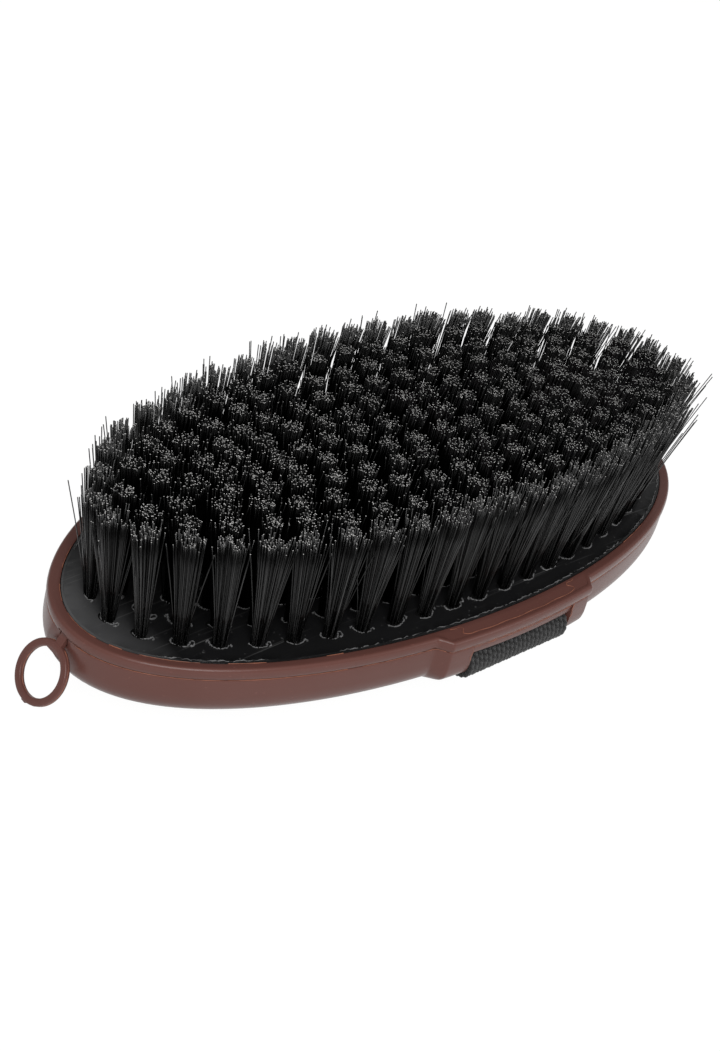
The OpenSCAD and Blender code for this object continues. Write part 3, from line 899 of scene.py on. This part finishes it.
def evenly(points, step):
    # a polyline with points a step apart, with its corners rounded a little
    p = np.array(points, float)
    lengths = lengthsAlong(p)
    s = np.linspace(0, lengths[-1], max(3, int(lengths[-1] / step)))
    q = np.stack([np.interp(s, lengths, p[:, k]) for k in range(3)], axis=1)
    q[1:-1] = (q[:-2] + 2 * q[1:-1] + q[2:]) / 4
    return q


def makeThreads(name, lines, spec, material):
    points, edges = [], []
    for line in lines:
        line = evenly(line, threadStep)
        edges += [(len(points) + i, len(points) + i + 1) for i in range(len(line) - 1)]
        points += list(line)
    obj = linked(name, meshOf(name, points, edges))
    return useTree(obj, threadTree, radius=spec["radius"] * mm, unevenness=spec["unevenness"], seed=spec["seed"],
                   wander=spec["wander"] * mm, plastic=material)


def arcLine(first, last, inset, height, ear):
    # a stretch round the oval, between two angles in degrees
    row = (inset, height, ear, 1, 0)
    return loopPoints(row, [math.radians(a) for a in np.arange(first, last, 0.4)])


def wallPoint(x, depth, side):
    # a point on the outside of the back's wall, at a depth under the parting line
    share = depth / body["backDepth"]
    depths = [p[1] for p in backProfile]
    inset = np.interp(share, depths, [p[0] * body["shoulder"] for p in backProfile])
    earShare = np.interp(share, depths, [p[2] for p in backProfile])
    y = (body["halfWidth"] - inset) * math.sqrt(1 - (x / (body["halfLength"] - inset)) ** 2)
    return (x, side * (y + earShare * body["earOut"]), body["seamHeight"] - depth + sag(x))


def landPoint(x, back, side):
    # a point on the land of an ear, a distance behind the ear's outer edge
    return (x, side * (earFace(x) - back), body["seamHeight"] + 0.92 * body["beadHeight"] + sag(x))


# stretches round the oval in degrees, each list at its inset, height and share of the ear
flashArcs = [
    (-0.02, 0.0, 1, ((6, 60), (62, 75.5), (104.5, 118), (120, 176), (184, 240), (242, 255.5), (284.5, 298),
                     (300, 354))),
    (0.06, 0.02, 1, ((75.5, 104.5), (255.5, 284.5))),
    (body["rimWidth"] - 0.10, 0.905 * body["beadHeight"], 0, (
        (150, 158), (164, 171), (176, 189), (193, 197), (201, 214), (219, 226), (236, 239), (12, 30), (300, 309))),
]
# one seam in the bar's groove and one on the land behind the bar, which wavers a little
barSeam = {"groove": 1.93, "grooveEnd": 17.4, "behind": 1.85, "end": 17.9, "wave": 0.12}
# at the end of a strap's slot, one thread runs down the wall and one curls over the land: X, and depth or set-back
wallRun = [(18.3, 0.1), (18.15, 0.5), (17.9, 1.0), (17.7, 1.7), (18.0, 2.4), (18.35, 3.0), (18.2, 3.7), (17.9, 4.2)]
landCurl = [(22.0, 4.9), (20.6, 4.6), (19.4, 4.9), (18.4, 4.2), (19.3, 3.4), (19.9, 2.7), (19.2, 2.1), (17.9, 1.9)]


def flashLines():
    lines = [arcLine(first, last, inset, height, ear)
             for inset, height, ear, stretches in flashArcs for first, last in stretches]
    grooveHeight = body["seamHeight"] + barBottom + barSeam["groove"]
    for side in (1, -1):
        for end in (1, -1):
            lines.append([wallPoint(end * x, depth, side) for x, depth in wallRun])
            lines.append([landPoint(end * x, back, side) for x, back in landCurl])
        lines.append([landPoint(x, barSeam["behind"] + barSeam["wave"] * math.sin(x * 0.7), side)
                      for x in np.linspace(-barSeam["end"], barSeam["end"], 60)])
        lines.append([(x, side * (earFace(x) - strap["barSetBack"]), grooveHeight)
                      for x in np.linspace(-barSeam["grooveEnd"], barSeam["grooveEnd"], 60)])
    return lines


threadTree = makeThreadTree()
mouldFlash = makeThreads("mouldFlash", flashLines(), flash, flashPlastic)
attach(mouldFlash, "brush")
# the plate's edge has a scraped burr of its own, whose grey colour is painted highlight
scrape = {"radius": 0.09, "unevenness": 1.9, "wander": 1.2, "seed": 7}
edgeRow = (plate["edgeInset"] + plate["burrInset"], body["plateRise"] + plate["ridge"], 0)
burrLines = [arcLine(first, last, *edgeRow) for first, last in plate["burrs"]]
plateBurr = makeThreads("plateBurr", burrLines, scrape, burrPaintedHighlight)
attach(plateBurr, "brush")
print("flash made:", len(mouldFlash.data.polygons), "faces")

tufts = {
    "firstRing": 9.5,
    "ringStep": 7.35,
    "turnedOn": -0.2,
    "pitch": 8.65,
    "rings": 5,
    "length": 29.4,
    "leanAlong": 0.055,
    "leanShift": 1.4,
    "leanAcross": -0.01,
    "strands": 80,
    "rootRadius": 1.5,
    "tipRadius": (3.8, 3.1),
    "strandRadius": 0.14,
    "strandSides": 5,
    "strandSegments": 3,
    "sunk": 0.8,
    "seed": 5,
    # how far a tuft, a filament and a loose filament may wander at the tip
    "tuftDrift": ((-0.8, -0.8, -0.4), (0.8, 0.8, 0.4)),
    "wander": ((-0.3, -0.3, -0.2), (0.3, 0.3, 0.15)),
    "looseWander": ((-3.2, -3.2, -0.6), (3.2, 3.2, 0.2)),
    "tuftSpread": (0.8, 1.12),
    "crowding": 1.35,
    "strayAbove": 0.8,
    "looseAbove": 0.92,
    "strayPush": 0.65,
    "bend": 1.15,
}
ringNames = ["outer_ring", "second_ring", "third_ring", "fourth_ring", "fifth_ring", "middle_row"]


def faceHeight(x):
    return body["seamHeight"] + body["plateRise"] + sag(x)


def ringTufts(k):
    # the tufts' places and directions, spread evenly along each oval as in the CAD
    inset = tufts["firstRing"] + tufts["ringStep"] * k
    if k == tufts["rings"]:
        inset -= tufts["ringStep"] / 2
        count = 2 * math.floor((body["halfLength"] - inset - 3.5) / tufts["pitch"])
        return [((i - (count - 1) / 2) * tufts["pitch"], 0.0, 1.0, 0.0) for i in range(count)]
    degrees = np.arange(0, 361, 2)
    line = np.array([ovalPoint(math.radians(d), inset) for d in degrees])
    lengths = lengthsAlong(line)
    count = round(lengths[-1] / tufts["pitch"])
    out = []
    for i in range(count):
        step = i + 0.5 * ((k + 1) % 2) + (tufts["turnedOn"] if k == 0 else 0)
        a = math.radians(np.interp(lengths[-1] * step / count, lengths, degrees))
        x, y = ovalPoint(a, inset)
        ahead = Vector(((inset - body["halfLength"]) * math.sin(a), (body["halfWidth"] - inset) * math.cos(a)))
        out.append((x, y, *ahead.normalized()))
    return out


def tuftPoints(name, places, sunk):
    # one vertex for each tuft, with its lean and its direction along the ring
    mesh = meshOf(name, [(x, y, faceHeight(x) - sunk) for x, y, _, _ in places])
    lean = mesh.attributes.new("lean", "FLOAT_VECTOR", "POINT")
    lean.data.foreach_set("vector", np.array(
        [((tufts["leanAlong"] * x + tufts["leanShift"]) * mm, tufts["leanAcross"] * y * mm, 0.0)
         for x, y, _, _ in places]).ravel())
    turn = mesh.attributes.new("turn", "FLOAT", "POINT")
    turn.data.foreach_set("value", np.array([math.atan2(ty, tx) for _, _, tx, ty in places]))
    return linked(name, mesh)


def randomVector(tree, limits, seed, offset, index):
    low, high = (tuple(v * mm for v in limit) for limit in limits)
    return randomOf(tree, low, high, seed, offset, "FLOAT_VECTOR", index)


def makeBristleTree():
    tree, start, end = geometryTree("bristleTufts", [
        ("strands", "Int"), ("rootRadius", "Float"), ("tipRadius", "Float"), ("strandRadius", "Float"),
        ("length", "Float"), ("seed", "Int"), ("nylon", "Material"), ("cutTip", "Material")])
    link = tree.links.new
    seed = start.outputs["seed"]
    index = addNode(tree, "GeometryNodeInputIndex").outputs[0]
    # each tuft leans a little its own way and is cut a little high or low
    tuftDrift = randomVector(tree, tufts["tuftDrift"], seed, 0, index)
    tuftSpread = randomOf(tree, *tufts["tuftSpread"], seed, 1, index=index)
    points = storeAttribute(tree, start.outputs["Geometry"], "tuftDrift", tuftDrift, "FLOAT_VECTOR")
    points = storeAttribute(tree, points, "tuftSpread", tuftSpread)
    cloud = addNode(tree, "GeometryNodeMeshToPoints", {"Mesh": points})
    copies = addNode(tree, "GeometryNodeDuplicateElements", domain="POINT")
    link(cloud.outputs[0], copies.inputs["Geometry"])
    link(start.outputs["strands"], copies.inputs["Amount"])
    # a place in the well for each filament, and one further out at its tip, closer together in the middle
    angle = randomOf(tree, 0.0, 2 * math.pi, seed, 2, index=index)
    reach = mathNode(tree, "SQRT", randomOf(tree, 0.0, 1.0, seed, 3, index=index))
    direction = combine(tree, mathNode(tree, "COSINE", angle), mathNode(tree, "SINE", angle))
    rootReach = times(tree, reach, start.outputs["rootRadius"])
    rootOffset = scaleVector(tree, direction, rootReach)
    stray = randomOf(tree, 0.0, 1.0, seed, 4, index=index)
    tipReach = times(tree, mathNode(tree, "POWER", reach, tufts["crowding"]), start.outputs["tipRadius"])
    tipReach = times(tree, tipReach, readAttribute(tree, "tuftSpread"))
    isStray = mathNode(tree, "GREATER_THAN", stray, tufts["strayAbove"])
    isLoose = mathNode(tree, "GREATER_THAN", stray, tufts["looseAbove"])
    tipReach = times(tree, tipReach, spread(tree, isStray, tufts["strayPush"], 1.0))
    wander = randomVector(tree, tufts["wander"], seed, 5, index)
    looseWander = randomVector(tree, tufts["looseWander"], seed, 6, index)
    looseWander = scaleVector(tree, looseWander, isLoose)
    tip = scaleVector(tree, direction, mathNode(tree, "SUBTRACT", tipReach, rootReach))
    for extra in (wander, looseWander, readAttribute(tree, "tuftDrift", "FLOAT_VECTOR"),
                  readAttribute(tree, "lean", "FLOAT_VECTOR")):
        tip = vectorNode(tree, "ADD", tip, extra)
    geometry = storeAttribute(tree, copies.outputs["Geometry"], "tip", tip, "FLOAT_VECTOR")
    geometry = storeAttribute(tree, geometry, "shade", randomOf(tree, 0.0, 1.0, seed, 7, index=index))
    rooted = addNode(tree, "GeometryNodeSetPosition", {"Geometry": geometry, "Offset": rootOffset})
    # the filament: a thin prism whose flat top is the cut
    prism = addNode(tree, "GeometryNodeMeshCylinder", fill_type="NGON")
    prism.inputs["Vertices"].default_value = tufts["strandSides"]
    prism.inputs["Side Segments"].default_value = tufts["strandSegments"]
    link(start.outputs["strandRadius"], prism.inputs["Radius"])
    link(start.outputs["length"], prism.inputs["Depth"])
    rise = combine(tree, z=times(tree, start.outputs["length"], 0.5))
    lifted = addNode(tree, "GeometryNodeTransform", {"Geometry": prism.outputs["Mesh"], "Translation": rise})
    painted = setMaterial(tree, lifted.outputs[0], start.outputs["nylon"])
    painted = setMaterial(tree, painted, start.outputs["cutTip"], prism.outputs["Top"])
    smooth = addNode(tree, "GeometryNodeSetShadeSmooth", domain="FACE")
    link(painted, smooth.inputs["Geometry"])
    link(prism.outputs["Side"], smooth.inputs["Selection"])
    height = partOf(tree, addNode(tree, "GeometryNodeInputPosition").outputs[0], "Z")
    share = mathNode(tree, "DIVIDE", height, start.outputs["length"])
    strandMesh = storeAttribute(tree, smooth.outputs[0], "rise", share)
    placed = addNode(tree, "GeometryNodeInstanceOnPoints", {"Points": rooted.outputs[0], "Instance": strandMesh})
    real = addNode(tree, "GeometryNodeRealizeInstances", {0: placed.outputs[0]})
    bend = mathNode(tree, "POWER", readAttribute(tree, "rise"), tufts["bend"])
    splay = scaleVector(tree, readAttribute(tree, "tip", "FLOAT_VECTOR"), bend)
    splayed = addNode(tree, "GeometryNodeSetPosition", {"Geometry": real.outputs[0], "Offset": splay})
    plug(tree, end.inputs[0], splayed.outputs[0])
    return tree


bristleTree = makeBristleTree()
allPlaces = []
for k, ringName in enumerate(ringNames):
    places = ringTufts(k)
    allPlaces += places
    bristles = tuftPoints("filaments" + ringName.title().replace("_", ""), places, tufts["sunk"])
    useTree(bristles, bristleTree, strands=tufts["strands"], rootRadius=tufts["rootRadius"] * mm,
            tipRadius=tufts["tipRadius"][min(k, 1)] * mm, strandRadius=tufts["strandRadius"] * mm,
            length=(tufts["length"] + tufts["sunk"]) * mm, seed=tufts["seed"] + 20 * k,
            nylon=shadedInnerFilament if k else filament, cutTip=paintedTipHighlight)
    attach(bristles, "brush")
    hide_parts("bristles_" + ringName)
    print("bristles:", ringName, len(places), "tufts,", len(bristles.data.polygons), "faces")

# burrs pushed up round the long wells when the tufts were punched in
collar = {"long": 2.5, "short": 1.62, "radius": 0.16, "jitter": 0.09, "floor": 0.03, "seed": 31,
          "turns": (-0.25, 0.25), "sizes": (0.85, 1.12), "heights": (0.6, 1.4)}
# each kind runs from its first angle to its last, in degrees, and curls over at one end or both
collarKinds = [
    {"seed": 3, "first": -168, "last": 6, "startCurl": 0.0, "endCurl": 0.66, "turns": 4.6},
    {"seed": 8, "first": -150, "last": -8, "startCurl": 0.0, "endCurl": 0.55, "turns": 3.4},
    {"seed": 12, "first": -205, "last": 14, "startCurl": 0.0, "endCurl": 0.75, "turns": 5.2},
    {"seed": 21, "first": -186, "last": -26, "startCurl": 0.45, "endCurl": 0.62, "turns": 2.9},
]


def collarPattern(kind):
    # an uneven thread round the near side of a well, with a curl at one end or both
    rng = np.random.default_rng(kind["seed"])
    shape = []
    for k in range(30):
        a = math.radians(kind["first"] + (kind["last"] - kind["first"]) * k / 29)
        grow = 1 + 0.06 * math.sin(4 * a + kind["seed"]) + 0.05 * rng.uniform(-1, 1)
        shape.append((collar["long"] * grow * math.cos(a), collar["short"] * grow * math.sin(a)))
    for end, curl in ((0, kind["startCurl"]), (-1, kind["endCurl"])):
        x, y = shape[end]
        side = math.copysign(1, x)
        loop = [(x + side * curl * (1 - math.cos(t)) * 0.8, y + curl * math.sin(t) * 1.4)
                for t in np.linspace(0.5, kind["turns"], 9)] if curl else []
        shape = list(reversed(loop)) + shape if end == 0 else shape + loop
    line = np.array(shape) + rng.uniform(-collar["jitter"], collar["jitter"], (len(shape), 2))
    ahead = np.gradient(line, axis=0)
    ahead /= np.linalg.norm(ahead, axis=1)[:, None]
    sections, turns = [], [math.pi * k / 3 for k in range(6)]
    swell = 1 + 0.5 * (np.abs(line[:, 0]) > 0.9 * collar["long"])
    for (x, y), (ax, ay), r in zip(line, ahead, collar["radius"] * rng.uniform(0.35, 1.4, len(line)) * swell):
        sections.append([(x + ay * r * math.cos(a), y - ax * r * math.cos(a), r * (0.55 + math.sin(a)))
                         for a in turns])
    return loft("collarPattern", sections, 80)


# painted shade: a thin dark dish in each well, standing in for the shade in the tuft holes
def wellFloorPattern():
    turns = [2 * math.pi * k / 24 for k in range(24)]
    sections = [[(grow * collar["long"] * math.cos(a), grow * collar["short"] * math.sin(a), z) for a in turns]
                for grow, z in ((0.98, -0.2), (0.93, collar["floor"]))]
    return loft("wellFloorPattern", sections)


def makeCollarTree():
    tree, start, end = geometryTree("wellCollars", [
        ("pattern", "Object"), ("seed", "Int"), ("plastic", "Material")])
    seed = start.outputs["seed"]
    info = addNode(tree, "GeometryNodeObjectInfo")
    tree.links.new(start.outputs["pattern"], info.inputs["Object"])
    turn = mathNode(tree, "ADD", readAttribute(tree, "turn"), randomOf(tree, *collar["turns"], seed))
    size = randomOf(tree, *collar["sizes"], seed, 1)
    tall = randomOf(tree, *collar["heights"], seed, 2)
    placed = addNode(tree, "GeometryNodeInstanceOnPoints", {
        "Points": start.outputs["Geometry"], "Instance": info.outputs["Geometry"],
        "Rotation": combine(tree, z=turn), "Scale": combine(tree, size, size, tall)})
    real = addNode(tree, "GeometryNodeRealizeInstances", {0: placed.outputs[0]})
    plug(tree, end.inputs[0], setMaterial(tree, real.outputs[0], start.outputs["plastic"]))
    return tree


# painted shade: the near-black colour of the well floors
paintedWellShade, wellTree, wellShader = startMaterial("paintedWellShade", (0.002, 0.002, 0.002), {"Specular IOR Level": 0.15})
wellGrain = placeGroup(wellTree, grainGroup, scale=1.2)
plug(wellTree, wellShader.inputs["Roughness"], spread(wellTree, wellGrain.outputs["tone"], 0.2, 0.6))

collarTree = makeCollarTree()
wells = [("wellFloors", wellFloorPattern(), paintedWellShade, allPlaces)]
# the collars' grey burr colour is painted highlight
wells += [("wellCollars%d" % (k + 1), collarPattern(kind), burrPaintedHighlight, allPlaces[k::len(collarKinds)])
          for k, kind in enumerate(collarKinds)]
for name, pattern, material, places in wells:
    piece = tuftPoints(name, places, 0.0)
    useTree(piece, collarTree, pattern=pattern, seed=collar["seed"], plastic=material)
    bpy.data.objects.remove(pattern)
    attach(piece, "brush")
print("collars made")

ring = {"radius": 7.7, "hole": 5.9, "thickness": 1.6, "rounding": 0.36, "neckLength": 3.35, "hang": 60.0,
        "neckHalf": 1.1, "neckThickness": 1.3, "chord": 5.35, "chordHalf": 2.7, "gate": 0.3, "softEdge": 0.16}
ring["reach"] = ring["radius"] + ring["neckLength"]
ringPlace = (Matrix.Translation(Vector((hingePlace[0], 0, hingePlace[1]))) @
             Matrix.Rotation(math.radians(-ring["hang"]), 4, "Y"))


def makeRing():
    half, inner, outer, r = ring["thickness"] / 2, ring["hole"], ring["radius"], ring["rounding"]
    section = []
    for cx, cz, first in ((outer - r, half - r, 0), (inner + r, half - r, 90),
                          (inner + r, r - half, 180), (outer - r, r - half, 270)):
        corner = [math.radians(first + 18 * k) for k in range(6)]
        section += [(cx + r * math.cos(a), cz + r * math.sin(a)) for a in corner]
    n, m = 96, len(section)
    points = []
    for i in range(n):
        a = 2 * math.pi * i / n
        points += [(p * math.cos(a) - ring["reach"], p * math.sin(a), q) for p, q in section]
    washer = outward(newObject("hangingRing", points, bandFaces(n, m, closed=True), 60))
    w, t = ring["neckHalf"], ring["neckThickness"] / 2
    neck = boxCutter((-ring["neckLength"] - 0.8, -w, -t), (0, w, t))
    # the hole is flat beside the neck, and the mould's gate leaves a stub on the far side
    filler = boxCutter((ring["chord"] - ring["reach"], -ring["chordHalf"], 0.12 - half),
                       (inner + 0.6 - ring["reach"], ring["chordHalf"], half - 0.12))
    gateEnd = -ring["reach"] - outer - ring["gate"]
    gate = boxCutter((gateEnd, -0.9, -0.35), (gateEnd + 1.0, 0.5, 0.35))
    pin = pinCutter((0, 0), hinge["radius"], hinge["length"] / 2)
    combineWith(washer, [neck, filler, gate, pin], "UNION")
    bevel = washer.modifiers.new("soft edges", "BEVEL")
    bevel.width = ring["softEdge"] * mm
    bevel.segments = 2
    bevel.limit_method = "ANGLE"
    bevel.angle_limit = math.radians(50)
    settle(washer, 50)
    washer.data.transform(Matrix.Scale(mm, 4) @ ringPlace @ Matrix.Scale(1 / mm, 4))
    return washer


def ringLine(radius, height=0.0, first=14, last=346):
    # a stretch round the ring, starting and ending beside its neck
    turns = [math.radians(a) for a in np.arange(first, last, 3)]
    return [ringPlace @ Vector((radius * math.cos(a) - ring["reach"], radius * math.sin(a), height)) for a in turns]


hangingRing = makeRing()
dress(hangingRing, "ring", "ring_plastic", brownPlastic)
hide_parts("hanging_ring")
ringSeams = [ringLine(ring["radius"]), ringLine(ring["hole"] + 0.02, 0.05, 32, 328)]
ringThread = {"radius": 0.09, "unevenness": 0.7, "wander": 0.06, "seed": 9}
ringFlash = makeThreads("ringFlash", ringSeams, ringThread, flashPlastic)
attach(ringFlash, "ring")
print("ring made")

carried = {"tuft_plate": plateBlack, "hem_rod_front": anchorWire, "hem_rod_rear": anchorWire}
carried.update({"anchors_" + ringName: anchorWire for ringName in ringNames})
for nodeName, material in carried.items():
    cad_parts[nodeName].data.materials.clear()
    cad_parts[nodeName].data.materials.append(material)

studio = {"floorWhite": 0.70, "floorGlow": 0.86, "glowStrength": 1.12, "world": 0.28, "floorSize": 6.0,
          "aim": (0, 0, 0.03)}
softboxes = {
    "keyBox": {"place": (-0.45, -0.48, 0.72), "width": 0.5, "height": 0.5, "power": 6.5},
    "rightBox": {"place": (0.55, -0.75, 0.45), "width": 0.4, "height": 0.6, "power": 1.7},
}


def makeFloor():
    size = studio["floorSize"]
    mesh = bpy.data.meshes.new("floor")
    mesh.from_pydata([(x, y, -0.0002) for x, y in ((-size, -size), (size, -size), (size, size), (-size, size))],
                     [], [(0, 1, 2, 3)])
    floor = linked("floor", mesh)
    white = (studio["floorWhite"],) * 3
    material, tree, shader = startMaterial("floorWhite", white, {"Roughness": 0.9, "Specular IOR Level": 0.0})
    glow = addNode(tree, "ShaderNodeEmission", {"Strength": studio["glowStrength"]})
    rays = addNode(tree, "ShaderNodeLightPath")
    seen = mathNode(tree, "MAXIMUM", rays.outputs["Is Camera Ray"], rays.outputs["Is Glossy Ray"])
    mix = addNode(tree, "ShaderNodeMixShader", {0: times(tree, seen, studio["floorGlow"])})
    tree.links.new(shader.outputs[0], mix.inputs[1])
    tree.links.new(glow.outputs[0], mix.inputs[2])
    tree.links.new(mix.outputs[0], tree.nodes["Material Output"].inputs["Surface"])
    mesh.materials.append(material)


def makeWorld():
    world = bpy.data.worlds.new("studio")
    world.use_nodes = True
    bpy.context.scene.world = world
    tree = world.node_tree
    back = tree.nodes["Background"]
    back.inputs["Color"].default_value = (1, 1, 1, 1)
    rays = addNode(tree, "ShaderNodeLightPath")
    strength = spread(tree, rays.outputs["Is Camera Ray"], 1.0 - studio["world"], studio["world"])
    tree.links.new(strength, back.inputs["Strength"])


def addSoftbox(name, spec):
    data = bpy.data.lights.new(name, "AREA")
    data.shape = "RECTANGLE"
    data.size, data.size_y = spec["width"], spec["height"]
    data.energy = spec["power"]
    light = linked(name, data)
    light.location = spec["place"]
    light.rotation_euler = (Vector(studio["aim"]) - Vector(spec["place"])).to_track_quat("-Z", "Y").to_euler()


makeFloor()
makeWorld()
for name, spec in softboxes.items():
    addSoftbox(name, spec)
bpy.context.scene.view_settings.view_transform = "Standard"
print("studio made")
